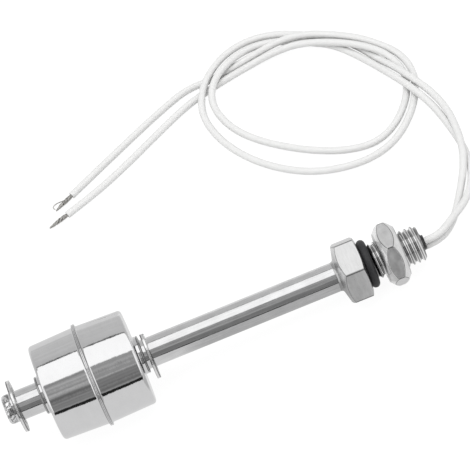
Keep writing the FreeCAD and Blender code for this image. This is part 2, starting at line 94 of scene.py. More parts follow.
LUMP_CENTRE = (-0.55, -0.45)  # sideways and up, where the wires leave the resin
LUMP_SHARE = 0.72             # size of the lump that stands proud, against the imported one

# The slopes of head and nut are lengths along the tube for each millimetre of radius.
HEAD_TURN = 163.6             # of one corner about the tube
HEAD_FLATS = 15.8
HEAD_CORNER_R = 0.25
HEAD_LENGTH = 7.3
HEAD_CONE = math.tan(math.radians(14))
HEAD_CONE_MIDDLE_R = 5.5
HEAD_RIM = math.tan(math.radians(30))
HEAD_RIM_R = 7.6
HEAD_BEVEL = math.tan(math.radians(18))
HEAD_FACE_R = 7.0
HEAD_REAR_EASE = 0.3          # rounding of the rear face's rim, and of the sealing face's
HEAD_SEAL_EASE = 0.1
FILLET = 0.9                  # where the rear face runs out into the tube
FILLET_TOE = 3.0
FILLET_RISE = 0.005           # of its toe above the tube
SOCKET_R = 4.02               # the tube stands in the head
SOCKET_END = -1.3

NUT_TURN = 206.9              # of one corner about the tube, at rest
NUT_START, NUT_END = reach("lock_nut")
NUT_FLATS = 15.8
NUT_CORNER_R = 0.7
NUT_FACE_R = 6.65
NUT_BORE_R = 4.95
NUT_BORE_CHAMFER = 0.8
NUT_SLOPE = math.tan(math.radians(42))
NUT_FACE_EASE = 0.15          # rounding of the end faces' rims

# Angles from a hexagon's corner at which it has a half section, and the most of a run that an eased
# corner takes.
CORNER_STEPS = (0, 0.5, 1, 1.5, 2, 2.5, 3, 4, 6, 9, 13, 18, 24)
EASED_SHARE = 0.45

# Points that are nearer to each other than this are made one, in metres.
WELD = 1e-7
THREAD_WELD = 2e-6

# The stripped ends of the wires.
STRAND_LENGTH = 6.2
STRAND_POINTS = 12
STRAND_TWIST = 2.6            # half turns of a strand about the wire's line
STRAND_SPREAD = 1.62          # turns over which the strands start
CORE_RING = 0.45              # how far out the inner strands lie, against the outer ones

# ---- colours that the settings leave alone -----------------------------------------------------
SLEEVE_STEEL = (0.42, 0.42, 0.42)
CLIP_STEEL = (0.72, 0.72, 0.72)
TINNED_COPPER = (0.52, 0.51, 0.49)
SOLDER = (0.66, 0.66, 0.66)
REED_METAL = (0.62, 0.58, 0.52)
REED_GLASS = (0.8, 0.9, 0.84)
FERRITE = (0.05, 0.05, 0.055)
SPACER_PLASTIC = (0.8, 0.8, 0.78)
SHRINK_SLEEVE = (0.03, 0.03, 0.03)
RING_RUBBER = (0.022, 0.022, 0.024)
BLACK_RESIN = (0.012, 0.012, 0.013)
PURE_WHITE = (1.0, 1.0, 1.0)


# ---- settings ----------------------------------------------------------------------------------
class WireSettings(bpy.types.PropertyGroup):
    diameter: FloatProperty(name="Wire diameter", description="Outside of the insulation",
                            default=0.002, min=0.0005, unit="LENGTH", precision=4)
    colour: FloatVectorProperty(name="Insulation", description="Colour of the insulation",
                                default=(0.735, 0.735, 0.73), subtype="COLOR", min=0, max=1)
    strand_count: IntProperty(name="Strands", description="Fine strands in each stripped end",
                              default=11, min=3, max=24)
    strand_diameter: FloatProperty(name="Strand diameter", description="Thickness of one strand",
                                   default=0.0003, min=0.0001, unit="LENGTH", precision=5)


class SteelSettings(bpy.types.PropertyGroup):
    float_colour: FloatVectorProperty(name="Float steel", description="Polished steel of the float",
                                      default=(0.78, 0.78, 0.785), subtype="COLOR", min=0, max=1)
    float_roughness: FloatProperty(name="Float roughness", description="Gloss of the polish",
                                   default=0.06, min=0, max=1, subtype="FACTOR")
    stem_colour: FloatVectorProperty(name="Stem steel", description="Drawn steel of the tube",
                                     default=(0.74, 0.74, 0.745), subtype="COLOR", min=0, max=1)
    head_colour: FloatVectorProperty(name="Head steel", description="Turned steel of the head",
                                     default=(0.74, 0.74, 0.74), subtype="COLOR", min=0, max=1)
    head_roughness: FloatProperty(name="Head roughness", description="Gloss of the head's turned faces",
                                  default=0.25, min=0, max=1, subtype="FACTOR")
    head_ease: FloatProperty(name="Head edges", description="Rounding of the head's bevelled edges",
                             default=0.00015, min=0.0, unit="LENGTH", precision=5)
    nut_colour: FloatVectorProperty(name="Nut steel", description="Plated steel of the lock nut",
                                    default=(0.93, 0.93, 0.93), subtype="COLOR", min=0, max=1)
    nut_ease: FloatProperty(name="Nut edges", description="Rounding of the nut's bevelled edges",
                            default=0.0004, min=0.0, unit="LENGTH", precision=5)


class ThreadSettings(bpy.types.PropertyGroup):
    colour: FloatVectorProperty(name="Thread steel", description="Freshly cut steel of the thread",
                                default=(0.97, 0.97, 0.97), subtype="COLOR", min=0, max=1)
    pitch: FloatProperty(name="Pitch", description="Distance between turns of the thread",
                         default=0.0015, min=0.0005, unit="LENGTH", precision=4)
    depth: FloatProperty(name="Depth", description="Depth of the thread",
                         default=0.00068, min=0.0002, unit="LENGTH", precision=5)
    first_crest: FloatProperty(name="First crest", description="Sealing face to a crest, on the upper side",
                               default=0.00301, min=0.0, unit="LENGTH", precision=5)
    end_chamfer: FloatProperty(name="End chamfer", description="Depth of the bevel at the open end",
                               default=0.0007, min=0.0, unit="LENGTH", precision=4)
    steps: IntProperty(name="Steps", description="Divisions of one turn", default=72, min=24, max=144)


class StageSettings(bpy.types.PropertyGroup):
    camera_distance: FloatProperty(name="Camera distance", description="From the camera to the aim",
                                   default=0.9216, min=0.1, unit="LENGTH")
    camera_rise: FloatProperty(name="Camera rise", description="Angle above the floor, about the tube",
                               default=math.radians(50.9), subtype="ANGLE")
    camera_roll: FloatProperty(name="Camera roll", description="Slope of the tube in the view",
                               default=math.radians(22.1), subtype="ANGLE")
    camera_lean: FloatProperty(name="Camera lean", description="Share of the view along the tube",
                               default=-0.011, min=-0.5, max=0.5)
    lens: FloatProperty(name="Lens", description="Focal length in millimetres", default=270, min=20)


class SwitchSettings(bpy.types.PropertyGroup):
    wires: PointerProperty(type=WireSettings)
    steel: PointerProperty(type=SteelSettings)
    thread: PointerProperty(type=ThreadSettings)
    stage: PointerProperty(type=StageSettings)


def settings():
    """The sizes and colours that a user can change."""
    return bpy.context.scene.level_switch


# ---- shader nodes ------------------------------------------------------------------------------
class Tree:
    """Adds nodes to a node tree in one line each."""

    def __init__(self, tree):
        self.tree = tree
        self.tree.nodes.clear()

    def add(self, kind, values=None, **options):
        """A node with its options set; values fill its inputs, and an output is linked instead."""
        node = self.tree.nodes.new(kind)
        for name, value in options.items():
            setattr(node, name, value)
        for name, value in (values or {}).items():
            self.feed(node.inputs[name], value)
        return node

    def feed(self, socket, value):
        """Links a socket to an output or to a node's first output, or sets it to a plain value."""
        if isinstance(value, bpy.types.NodeSocket):
            self.tree.links.new(value, socket)
        elif isinstance(value, bpy.types.Node):
            self.tree.links.new(value.outputs[0], socket)
        elif socket.type == "RGBA":
            socket.default_value = (*value, 1)
        else:
            socket.default_value = value

    def maths(self, operation, first, second=0.0, third=0.0):
        return self.add("ShaderNodeMath", {0: first, 1: second, 2: third}, operation=operation)

    def mix(self, share, first, second):
        """The first number where the share is 0, and the second where it is 1."""
        return self.add("ShaderNodeMix", {0: share, 2: first, 3: second}, data_type="FLOAT")

    def scale(self, colour, factor):
        """A colour times a number."""
        return self.add("ShaderNodeVectorMath", {0: colour, 3: factor}, operation="SCALE")

    def split(self, vector):
        """The outputs X, Y and Z of a vector."""
        return self.add("ShaderNodeSeparateXYZ", {0: vector}).outputs

    def ramp(self, factor, stops):
        """A ramp of greys: stops is a list of (place, grey)."""
        node = self.add("ShaderNodeValToRGB", {0: factor})
        elements = node.color_ramp.elements
        while len(elements) > 1:
            elements.remove(elements[-1])
        for index, (place, grey) in enumerate(stops):
            spot = elements[0] if index == 0 else elements.new(place)
            spot.position = place
            spot.color = (grey, grey, grey, 1)
        return node


def add_sockets(group, direction, kinds):
    """Gives a node group its inputs or outputs: kinds holds the kind of each by its name."""
    for name, kind in kinds.items():
        group.interface.new_socket(name, in_out=direction, socket_type="NodeSocket" + kind)


def material(name, colour, roughness, metallic=0.0, **sockets):
    """A new material and its Principled shader; sockets are set on the shader by name."""
    result = bpy.data.materials.new(name)
    result.use_nodes = True
    tree = Tree(result.node_tree)
    shader = tree.add("ShaderNodeBsdfPrincipled", {"Base Color": colour, "Roughness": roughness,
                                                   "Metallic": metallic})
    for socket, value in sockets.items():
        tree.feed(shader.inputs[socket.replace("_", " ")], value)
    tree.add("ShaderNodeOutputMaterial", {"Surface": shader})
    return result, tree, shader


def stem_coordinates(tree):
    """Object coordinates turned so that X runs along the tube, in metres."""
    place = tree.add("ShaderNodeTexCoord").outputs["Object"]
    return tree.add("ShaderNodeMapping", {"Vector": place, "Location": TO_STEM.translation,
                                          "Rotation": TO_STEM.to_euler()}, vector_type="POINT")


def radial_distance(tree, place):
    """Distance from the tube's line."""
    parts = tree.split(place)
    flat = tree.add("ShaderNodeCombineXYZ", {0: 0.0, 1: parts["Y"], 2: parts["Z"]})
    return tree.add("ShaderNodeVectorMath", {0: flat}, operation="LENGTH").outputs["Value"]


def flat_distance(tree, place, turn):
    """Distance from the tube's line to a hexagon's side through the place; a corner is at the turn."""
    parts = tree.split(place)
    angle = tree.maths("ARCTAN2", tree.maths("MULTIPLY", parts["Y"], -1.0), parts["Z"])
    off = tree.maths("WRAP", tree.maths("SUBTRACT", angle, math.radians(turn)), SIXTH_TURN, 0.0)
    cosine = tree.maths("COSINE", tree.maths("SUBTRACT", off, SIXTH_TURN / 2))
    return tree.maths("MULTIPLY", radial_distance(tree, place), cosine)


def distance_along(tree, place, middle):
    """Distance from a place on the tube, given in millimetres."""
    return tree.maths("ABSOLUTE", tree.maths("SUBTRACT", tree.split(place)["X"], middle * MM))


def fade(tree, value, low, high, first=0.0, last=1.0):
    """Goes smoothly from one number to another while a value passes from low to high."""
    return tree.add("ShaderNodeMapRange", {
        "Value": value, "From Min": low, "From Max": high, "To Min": first, "To Max": last},
        interpolation_type="SMOOTHSTEP")


def fade_mm(tree, distance, low, high, first=0.0, last=1.0):
    """The same, while a distance passes from low to high in millimetres."""
    return fade(tree, distance, low * MM, high * MM, first, last)


# ---- shades ------------------------------------------------------------------------------------
# A shade gives a factor of a metal's colour, and a rise of its roughness or None. The shades of the head, nut,
# thread, tip and clips paint reflections, highlights and shade into the colour.
SIDE_BLEND = (0.032, 0.007)   # depths under a hexagon's side between which its painted tone starts


def hexagon_painted_lines(tree, place, turn, flats, depths, dark, bright):
    """The sides of a hexagon painted at the factor bright, each with a painted dark line round it for the
    reflection of its eased edge, and a mask of the sides.

    The line lies between two depths under the sides, in millimetres.
    """
    distance = flat_distance(tree, place, turn)
    line = fade_mm(tree, distance, flats / 2 - depths[0], flats / 2 - depths[1], first=1.0, last=dark)
    side = fade_mm(tree, distance, flats / 2 - SIDE_BLEND[0], flats / 2 - SIDE_BLEND[1])
    return tree.mix(side, line, bright), side


def head_painted_shade(tree, place):
    """Painted reflections on the head: dark lines along its corners and round each side, and a rear face painted
    darker.
    """
    lines, side = hexagon_painted_lines(tree, place, HEAD_TURN, HEAD_FLATS, depths=(0.45, 0.15), dark=0.5,
                                bright=0.95)
    sharp_r = HEAD_FLATS / 2 / math.cos(SIXTH_TURN / 2)
    distance = radial_distance(tree, place)
    # Painted reflection: a dark line along each corner.
    corner = fade_mm(tree, distance, sharp_r - 0.192, sharp_r - 0.102, first=1.0, last=0.45)
    # Painted shade: the rear face's colour is darkened to tone down what it mirrors.
    rear = fade_mm(tree, tree.split(place)["X"], 0.5 - HEAD_LENGTH, 1.1 - HEAD_LENGTH, first=0.68)
    factor = tree.maths("MULTIPLY", tree.maths("MULTIPLY", corner, lines), rear)
    return factor, tree.maths("MULTIPLY", side, 0.08)


def nut_painted_shade(tree, place):
    """Painted reflections on the nut: a dark line round each side, sides rougher and painted darker than the
    bevels, and end faces painted dimmer.
    """
    lines, side = hexagon_painted_lines(tree, place, NUT_TURN, NUT_FLATS, depths=(0.14, 0.08), dark=0.2,
                                bright=0.88)
    distance = radial_distance(tree, place)
    # Painted shade: the end faces are painted dimmer.
    face = fade_mm(tree, distance, NUT_FACE_R + 0.05, NUT_FACE_R + 0.45, first=0.62)
    return tree.maths("MULTIPLY", lines, face), tree.maths("MULTIPLY", side, 0.22)


def thread_painted_shade(tree, place):
    """Painted shade and reflections on the thread: roots painted dark where shade falls between the turns, crests
    painted dark, flanks left bright.
    """
    distance = radial_distance(tree, place)
    root = fade_mm(tree, distance, THREAD_R - 0.6, THREAD_R - 0.4, first=0.3)
    crest = fade_mm(tree, distance, THREAD_R - 0.12, THREAD_R - 0.02, first=1.0, last=0.4)
    return tree.maths("MULTIPLY", root, crest), None


def seam_shade(tree, place):
    """A dark line on each side of the float's weld."""
    off = distance_along(tree, place, SEAM_X)
    line = fade_mm(tree, off, 0.16, 0.3, first=1.0, last=0.42)
    return tree.mix(fade_mm(tree, off, 0.42, 0.62), line, 1.0), None


def tip_painted_glints(tree, place):
    """Painted glints: bright and dark specks in the colour stand in for the speckled highlights of the melted
    surface.
    """
    specks = tree.add("ShaderNodeTexNoise", {"Vector": place, "Scale": 1500.0, "Detail": 2.0})
    return fade(tree, specks, 0.44, 0.56, first=0.42, last=1.15), None


def clip_painted_light(node):
    """The painted light of one clip: a painted highlight in the middle of its thickness and painted shade towards
    its edges.
    """
    middle = sum(reach(node)) / 2

    def shade(tree, place):
        off = distance_along(tree, place, middle)
        # Painted highlight in the middle, painted shade towards the edges.
        return fade_mm(tree, off, 0.15, 0.4, first=1.2, last=0.3), None

    return shade


# ---- finishes ----------------------------------------------------------------------------------
LINE_SHARE = 0.6              # of a metal's grain, and the rest is clouds
COLOUR_SWING = 0.5            # how far the grain moves the colour
GLOSS_SWING = 0.35            # and the roughness
MOULDED_RELIEF = 0.03         # its depth in millimetres


def metal_grain():
    """Fine lines and soft clouds of a metal surface: a colour, a roughness and a height."""
    name = "Metal grain"
    if name in bpy.data.node_groups:
        return bpy.data.node_groups[name]
    group = bpy.data.node_groups.new(name, "ShaderNodeTree")
    add_sockets(group, "INPUT", {"Place": "Vector", "Colour": "Color", "Roughness": "Float",
                                 "Line scale": "Vector", "Cloud scale": "Float", "Strength": "Float"})
    add_sockets(group, "OUTPUT", {"Colour": "Color", "Roughness": "Float", "Height": "Float"})
    tree = Tree(group)
    given = tree.add("NodeGroupInput").outputs
    spread = tree.add("ShaderNodeVectorMath", {0: given["Place"], 1: given["Line scale"]},
                      operation="MULTIPLY")
    lines = tree.add("ShaderNodeTexNoise", {"Vector": spread, "Scale": 1.0, "Detail": 4.0, "Roughness": 0.6})
    clouds = tree.add("ShaderNodeTexNoise", {"Vector": given["Place"], "Scale": given["Cloud scale"],
                                             "Detail": 3.0})
    height = tree.maths("ADD", tree.maths("MULTIPLY", lines, LINE_SHARE),
                        tree.maths("MULTIPLY", clouds, 1 - LINE_SHARE))
    swing = tree.maths("MULTIPLY", tree.maths("SUBTRACT", height, 0.5), given["Strength"])
    factor = tree.maths("MULTIPLY_ADD", swing, COLOUR_SWING, 1.0)
    gloss = tree.maths("MULTIPLY_ADD", swing, GLOSS_SWING, given["Roughness"])
    gloss.use_clamp = True
    tree.add("NodeGroupOutput", {"Colour": tree.scale(given["Colour"], factor), "Roughness": gloss,
                                 "Height": height})
    return group


def add_relief(tree, shader, height, strength, depth):
    """A fine relief; its depth is in millimetres."""
    bump = tree.add("ShaderNodeBump", {"Height": height, "Strength": strength, "Distance": depth * MM})
    tree.feed(shader.inputs["Normal"], bump)


def metal(name, colour, roughness, lines, clouds, swing, bump, depth=0.02, shade=None):
    """A metal finish: fine lines along one way, soft clouds, and a faint relief.

    Lines holds their scale along, across and up from the stem, and clouds is that of the clouds.
    Swing is how much both change the colour and the gloss, and bump and depth are the relief's.
    """
    result, tree, shader = material(name, colour, roughness, metallic=1.0)
    place = stem_coordinates(tree)
    grain = tree.add("ShaderNodeGroup", {
        "Place": place, "Colour": colour, "Roughness": roughness, "Line scale": lines,
        "Cloud scale": clouds, "Strength": swing}, node_tree=metal_grain())
    tint = grain.outputs["Colour"]
    gloss = grain.outputs["Roughness"]
    # Most shades paint reflections, highlights and shade into the colour.
    if shade:
        factor, rise = shade(tree, place)
        tint = tree.scale(tint, factor)
        if rise:
            gloss = tree.maths("ADD", gloss, rise)
    tree.feed(shader.inputs["Base Color"], tint)
    tree.feed(shader.inputs["Roughness"], gloss)
    add_relief(tree, shader, grain.outputs["Height"], bump, depth)
    return result


def moulded(name, colour, roughness, scale, swing, bump=0.0):
    """A moulded or cast surface: its colour and gloss vary softly, and it may have a fine relief."""
    result, tree, shader = material(name, colour, roughness)
    noise = tree.add("ShaderNodeTexNoise", {"Vector": stem_coordinates(tree), "Scale": scale, "Detail": 4.0})
    change = tree.maths("MULTIPLY", tree.maths("SUBTRACT", noise, 0.5), swing)
    tree.feed(shader.inputs["Base Color"], tree.scale(tuple(colour), tree.maths("ADD", change, 1.0)))
    tree.feed(shader.inputs["Roughness"], tree.maths("ADD", change, roughness))
    if bump:
        add_relief(tree, shader, noise, bump, MOULDED_RELIEF)
    return result


def white_insulation():
    """White plastic insulation of the wires and their inner leads: slightly glossy, with soft marks."""
    name = "wire_insulation"
    if name in bpy.data.materials:
        return bpy.data.materials[name]
    return moulded(name, settings().wires.colour, roughness=0.42, scale=900.0, swing=0.10, bump=0.25)


def dress(look, *nodes):
    """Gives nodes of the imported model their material."""
    for node in nodes:
        piece = frame["nodes"][node]
        for slot in piece.material_slots:
            slot.material = look
        if not piece.material_slots:
            piece.data.materials.append(look)


# ---- meshes ------------------------------------------------------------------------------------
def new_piece(name, mesh, body, look):
    """A new piece that rides on a body and takes the finish it is given."""
    piece = bpy.data.objects.new(name, mesh)
    bpy.context.scene.collection.objects.link(piece)
    if not mesh.materials:
        mesh.materials.append(look)
    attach(piece, body)
    return piece


def smooth(mesh, angle):
    """Smooth faces, with edges sharper than the angle kept crisp."""
    mesh.shade_smooth()
    mesh.set_sharp_from_angle(angle=math.radians(angle))


def mesh_from(work, name):
    """The mesh of a bmesh that is finished."""
    mesh = bpy.data.meshes.new(name)
    work.to_mesh(mesh)
    work.free()
    return mesh


def plain_mesh(source):
    """The plain mesh that an object comes to, and the object is removed."""
    bpy.context.view_layer.update()
    shape = source.evaluated_get(bpy.context.evaluated_depsgraph_get())
    mesh = bpy.data.meshes.new_from_object(shape)
    bpy.data.objects.remove(source)
    return mesh


# ---- wires -------------------------------------------------------------------------------------
# The points are in millimetres: the exit from the resin first, then along the floor.
WIRE_A = [
    (58.95, -0.55, 8.1), (63.1, -0.55, 7.8), (67.9, 4.1, 6.0), (73.5, 9.8, 3.4), (77.2, 16.4, 1.4),
    (78.9, 22.5, 1.0), (79.1, 29.3, 1.0), (78.2, 37.2, 1.0), (76.7, 45.1, 1.5), (74.4, 50.6, 3.2),
    (71.5, 57.1, 3.4), (67.9, 65.1, 2.2), (64.1, 73.1, 1.0), (58.9, 81.0, 1.0), (52.1, 86.2, 1.0),
    (45.0, 90.9, 1.0), (38.4, 92.3, 1.6), (31.7, 90.2, 3.0), (25.6, 86.4, 3.4), (22.2, 81.7, 2.6),
    (21.6, 76.4, 1.1), (23.9, 68.6, 1.0), (28.5, 61.5, 1.0), (35.2, 54.6, 1.0), (42.9, 48.4, 1.0),
    (51.0, 43.9, 1.0), (58.5, 42.4, 1.0), (64.7, 45.1, 1.0), (69.5, 50.2, 1.0), (72.4, 55.6, 1.0),
    (73.5, 61.9, 1.0), (71.8, 67.9, 1.6), (68.8, 71.4, 3.2), (64.0, 76.3, 3.3), (57.1, 81.3, 3.3),
    (49.7, 85.0, 3.2), (41.8, 86.6, 2.1), (35.0, 86.8, 1.0), (28.7, 86.0, 1.0), (22.0, 84.8, 1.0),
    (14.5, 82.9, 1.0), (4.4, 78.1, 1.0), (-6.4, 72.7, 1.0), (-17.3, 67.9, 1.0), (-27.2, 64.9, 1.0),
]
WIRE_B = [
    (58.8, -0.54, 6.0), (63.0, -0.54, 5.7), (67.7, 4.4, 3.8), (71.0, 10.8, 2.0), (74.1, 16.7, 1.4),
    (76.7, 21.2, 2.3), (78.7, 26.4, 3.4), (79.6, 33.9, 3.0), (79.5, 42.9, 2.1), (77.3, 50.4, 3.0),
    (73.9, 57.4, 3.6), (71.6, 62.8, 2.9), (68.4, 69.4, 1.0), (65.2, 76.3, 1.0), (59.8, 83.4, 1.0),
    (53.0, 88.6, 1.0), (45.4, 93.7, 1.0), (37.2, 95.1, 1.8), (29.3, 92.5, 3.0), (22.9, 87.2, 3.4),
    (19.4, 82.0, 2.8), (17.7, 76.2, 1.2), (19.4, 67.3, 1.0), (23.4, 58.5, 1.0), (29.6, 50.2, 1.0),
    (37.9, 43.1, 1.0), (47.0, 39.2, 1.0), (56.0, 38.1, 1.0), (63.8, 40.5, 1.0), (70.2, 46.6, 1.0),
    (74.0, 53.1, 1.0), (75.9, 60.4, 1.0), (74.5, 68.0, 1.1), (70.3, 73.1, 2.6), (65.3, 78.3, 3.2),
    (59.0, 83.1, 3.3), (53.7, 86.5, 3.3), (47.8, 88.5, 3.2), (41.8, 89.0, 2.5), (35.6, 89.2, 1.2),
    (30.0, 88.6, 1.0), (23.7, 87.8, 1.0), (16.4, 88.6, 1.0), (6.2, 84.7, 1.0), (-4.0, 80.1, 1.0),
    (-14.3, 75.3, 1.0), (-24.2, 70.6, 1.0),
]

# Each wire's node, route, real length in metres, whether a strand has sprung out, and seed.
WIRES = (
    ("wire_a", WIRE_A, 0.3401, False, 3),
    ("wire_b", WIRE_B, 0.3610, True, 8),
)

# A sprung strand: ahead of the insulation's end, sideways and over, in millimetres.
HOOK = [(2.6, 0.3, 0.4), (4.0, 0.9, 0.7), (5.6, 1.2, 0.8), (6.4, 0.7, 0.7), (6.1, 0.1, 0.5)]


def round_curve(name, radius, fineness):
    """A curve whose lines become round wires with closed ends."""
    curve = bpy.data.curves.new(name, "CURVE")
    curve.dimensions = "3D"
    curve.bevel_depth = radius
    curve.bevel_resolution = fineness
    curve.use_fill_caps = True
    return curve


def add_line(curve, points, fineness):
    """A smooth line in a curve, with the points in metres as its control points."""
    line = curve.splines.new("NURBS")
    line.points.add(len(points) - 1)
    for control, point in zip(line.points, points):
        control.co = (*point, 1)
    line.order_u = 3
    line.use_endpoint_u = True
    line.resolution_u = fineness


def strand_points(start, axes, turn, ring, chance):
    """One strand of a stripped end, twisted with the others into a spindle."""
    ahead, side, upward = axes
    length = STRAND_LENGTH * MM * chance.uniform(0.86, 1.0)
    points = []
    for step in range(STRAND_POINTS):
        share = step / (STRAND_POINTS - 1)
        # The twist swells at first and narrows to its tip.
        belly = (0.42 + 0.16 * math.sin(math.pi * share) - 0.30 * share ** 2) * MM
        angle = turn + STRAND_TWIST * math.pi * share
        sway = ring * belly * chance.uniform(0.88, 1.1)
        offset = side * math.cos(angle) * sway + upward * math.sin(angle) * sway
        points.append(start + ahead * (length * share) + offset)
    return points


def twisted_strands(name, start, direction, look, seed, sprung):
    """The stripped end of a wire: fine strands in a twist, and perhaps one that has sprung out."""
    own = settings().wires
    chance = random.Random(seed)
    ahead = direction.normalized()
    side = ahead.cross(Vector((0, 0, 1))).normalized()
    upward = side.cross(ahead)
    curve = round_curve(name, own.strand_diameter / 2, fineness=2)
    for index in range(own.strand_count):
        ring = CORE_RING if index < own.strand_count // 3 else 1.0
        turn = 2 * math.pi * index / own.strand_count * STRAND_SPREAD
        add_line(curve, strand_points(start, (ahead, side, upward), turn, ring, chance), fineness=3)
    if sprung:
        add_line(curve, [start + (ahead * far + side * across + upward * over) * MM
                         for far, across, over in HOOK], fineness=6)
    source = bpy.data.objects.new(name + "_source", curve)
    bpy.context.scene.collection.objects.link(source)
    mesh = plain_mesh(source)
    mesh.materials.clear()
    smooth(mesh, 60)
    return new_piece(name, mesh, "stem", look)


class SWITCH_OT_wires(bpy.types.Operator):
    """Lays the two white wires and their stripped ends"""
    bl_idname = "switch.wires"
    bl_label = "Wires"

    def execute(self, context):
        diameter = settings().wires.diameter
        white = white_insulation()
        bare = metal("tinned_copper", TINNED_COPPER, roughness=0.25, lines=(300, 2500, 2500), clouds=1500.0,
                     swing=0.8, bump=0.3)
        for name, route, length, sprung, seed in WIRES:
            points = [Vector(point) * MM for point in route]
            curve = round_curve(name + "_insulation", diameter / 2, fineness=5)
            add_line(curve, points, fineness=6)
            wire = new_piece(name + "_insulation", curve, "stem", white)
            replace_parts(wire, name)
            end = twisted_strands(name + "_bare_end", points[-1], points[-1] - points[-2], bare, seed, sprung)
            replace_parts(end, name + "_strands")
        return {"FINISHED"}


# ---- the threaded neck -------------------------------------------------------------------------
def thread_tree():
    """Nodes that bend a grid into a neck with a right-hand thread, in stem coordinates.

    The grid's columns go once round the neck, and its rows wind along it with the thread. The first
    two rows are the bore, and the last one closes the open end.
    """
    group = bpy.data.node_groups.new("Threaded neck", "GeometryNodeTree")
    add_sockets(group, "OUTPUT", {"Geometry": "Geometry"})
    add_sockets(group, "INPUT", dict.fromkeys((
        "Start", "End", "Crest radius", "Relief radius", "Bore radius", "Pitch", "Depth", "First crest",
        "End chamfer"), "Float"))
    add_sockets(group, "INPUT", {"Steps": "Int", "Rows": "Int", "Material": "Material"})
    tree = Tree(group)
    given = tree.add("NodeGroupInput").outputs
    grid = tree.add("GeometryNodeMeshGrid", {"Size X": 1.0, "Size Y": 1.0, "Vertices X": given["Steps"],
                                             "Vertices Y": given["Rows"]})
    spot = tree.split(tree.add("GeometryNodeInputPosition"))
    around = tree.maths("ADD", spot["X"], 0.5)
    last = tree.maths("SUBTRACT", given["Rows"], 1.0)
    row = tree.maths("ROUND", tree.maths("MULTIPLY", tree.maths("ADD", spot["Y"], 0.5), last))
    step = tree.maths("DIVIDE", given["Pitch"], float(PROFILE_STEPS))
    wound = tree.maths("SUBTRACT", tree.maths("MULTIPLY", around, given["Pitch"]), given["Pitch"])
    free = tree.maths("ADD", given["Start"], tree.maths("MULTIPLY_ADD", row, step, wound))
    along = tree.maths("MINIMUM", tree.maths("MAXIMUM", free, given["Start"]), given["End"])
    turns = tree.maths("DIVIDE", tree.maths("SUBTRACT", along, given["First crest"]), given["Pitch"])
    phase = tree.maths("FRACT", tree.maths("SUBTRACT", turns, around))
    wave = tree.maths("COSINE", tree.maths("MULTIPLY", phase, 2 * math.pi))
    height = tree.maths("MULTIPLY_ADD", wave, 0.5, 0.5)
    root = tree.maths("SUBTRACT", given["Crest radius"], given["Depth"])
    cut = tree.maths("MULTIPLY_ADD", height, given["Depth"], root)
    rising = tree.maths("ADD", given["Relief radius"], tree.maths("SUBTRACT", along, given["Start"]))
    bevel = tree.maths("SUBTRACT", given["Crest radius"], given["End chamfer"])
    falling = tree.maths("ADD", bevel, tree.maths("SUBTRACT", given["End"], along))
    outside = tree.maths("MINIMUM", tree.maths("MINIMUM", cut, rising), falling)
    first_row = tree.maths("LESS_THAN", row, 0.5)
    second_row = tree.maths("COMPARE", row, 1.0, 0.25)
    last_row = tree.maths("COMPARE", row, last, 0.25)
    at_end = tree.maths("MAXIMUM", first_row, last_row)
    radius = tree.mix(tree.maths("MAXIMUM", at_end, second_row), outside, given["Bore radius"])
    held = tree.mix(second_row, along, given["Start"])
    place = tree.mix(at_end, held, given["End"])
    angle = tree.maths("MULTIPLY", around, 2 * math.pi)
    sideways = tree.maths("MULTIPLY", tree.maths("MULTIPLY", tree.maths("SINE", angle), radius), -1.0)
    upward = tree.maths("MULTIPLY", tree.maths("COSINE", angle), radius)
    target = tree.add("ShaderNodeCombineXYZ", {0: place, 1: sideways, 2: upward})
    bent = tree.add("GeometryNodeSetPosition", {"Geometry": grid.outputs["Mesh"], "Position": target})
    joined = tree.add("GeometryNodeMergeByDistance", {"Geometry": bent, "Distance": THREAD_WELD})
    real = tree.add("GeometryNodeRealizeInstances", {"Geometry": joined})
    dressed = tree.add("GeometryNodeSetMaterial", {"Geometry": real, "Material": given["Material"]})
    tree.add("NodeGroupOutput", {"Geometry": dressed})
    return group


def nodes_result(name, group, values):
    """The plain mesh that a tree of geometry nodes makes from values given by input name."""
    holder = bpy.data.objects.new(name, bpy.data.meshes.new(name))
    bpy.context.scene.collection.objects.link(holder)
    modifier = holder.modifiers.new(name, "NODES")
    modifier.node_group = group
    for item in group.interface.items_tree:
        if item.item_type == "SOCKET" and item.in_out == "INPUT":
            modifier[item.identifier] = values[item.name]
    return plain_mesh(holder)


def threaded_neck(look):
    """The neck from its relief to its open end, with the real thread."""
    own = settings().thread
    length = (NECK_END - NECK_START) * MM
    wound = math.ceil(length / own.pitch * PROFILE_STEPS) + PROFILE_STEPS
    closing = 4
    mesh = nodes_result("threaded_neck", thread_tree(), {
        "Start": NECK_START * MM, "End": NECK_END * MM, "Crest radius": THREAD_R * MM,
        "Relief radius": RELIEF_R * MM, "Bore radius": NECK_BORE_R * MM, "Pitch": own.pitch,
        "Depth": own.depth, "First crest": own.first_crest, "End chamfer": own.end_chamfer,
        "Steps": own.steps + 1, "Rows": wound + closing, "Material": look})
    mesh.transform(STEM)
    work = bmesh.new()
    work.from_mesh(mesh)
    bmesh.ops.recalc_face_normals(work, faces=work.faces)
    work.to_mesh(mesh)
    work.free()
    smooth(mesh, 40)
    return new_piece("threaded_neck", mesh, "stem", look)


def potting_lump(look):
    """The resin: it fills the bore, and only a smaller lump of it stands proud of the end."""
    work = bmesh.new()
    work.from_mesh(frame["nodes"]["potting"].data)
    bmesh.ops.remove_doubles(work, verts=work.verts, dist=WELD)
    side, up = LUMP_CENTRE
    for vert in work.verts:
        place = TO_STEM @ vert.co / MM
        if place.x > NECK_END + 0.02:
            place.y = side + (place.y - side) * LUMP_SHARE
            place.z = up + (place.z - up) * LUMP_SHARE
            vert.co = on_stem(*place)
    mesh = mesh_from(work, "potting_lump")
    smooth(mesh, 40)
    piece = new_piece("potting_lump", mesh, "stem", look)
    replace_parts(piece, "potting")


